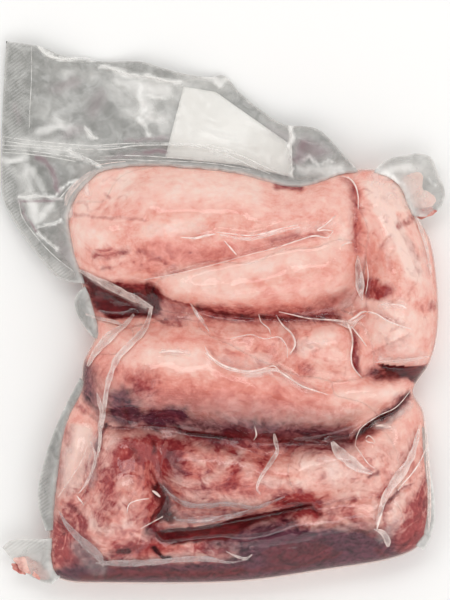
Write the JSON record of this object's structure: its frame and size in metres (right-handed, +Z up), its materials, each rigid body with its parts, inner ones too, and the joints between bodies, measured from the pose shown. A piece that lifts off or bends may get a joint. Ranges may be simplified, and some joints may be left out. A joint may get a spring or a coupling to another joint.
{
  "type": "vacuum pack of meat",
  "caption": "Clear vacuum bag filled with raw pork head meat in soft rolls, with loose film and a bare paper label at its mouth, lying on its back.",
  "frame": {"origin": "on the table, under the middle of the bag", "axes": "+X across the bag to the right as shown, +Y towards the bag's open end, +Z up out of the shown side"},
  "size_m": [0.267, 0.3265, 0.0658],
  "materials": {
    "packed_meat": "raw pink meat and pale fat behind tight clear film, wet gloss",
    "clear_film": "clear polyamide and polythene film, crinkled and glossy",
    "label_paper": "bare matt white paper behind film"
  },
  "bodies": {
    "root": {"sealed_bag": "packed_meat", "label": "label_paper"}
  },
  "joints": []
}
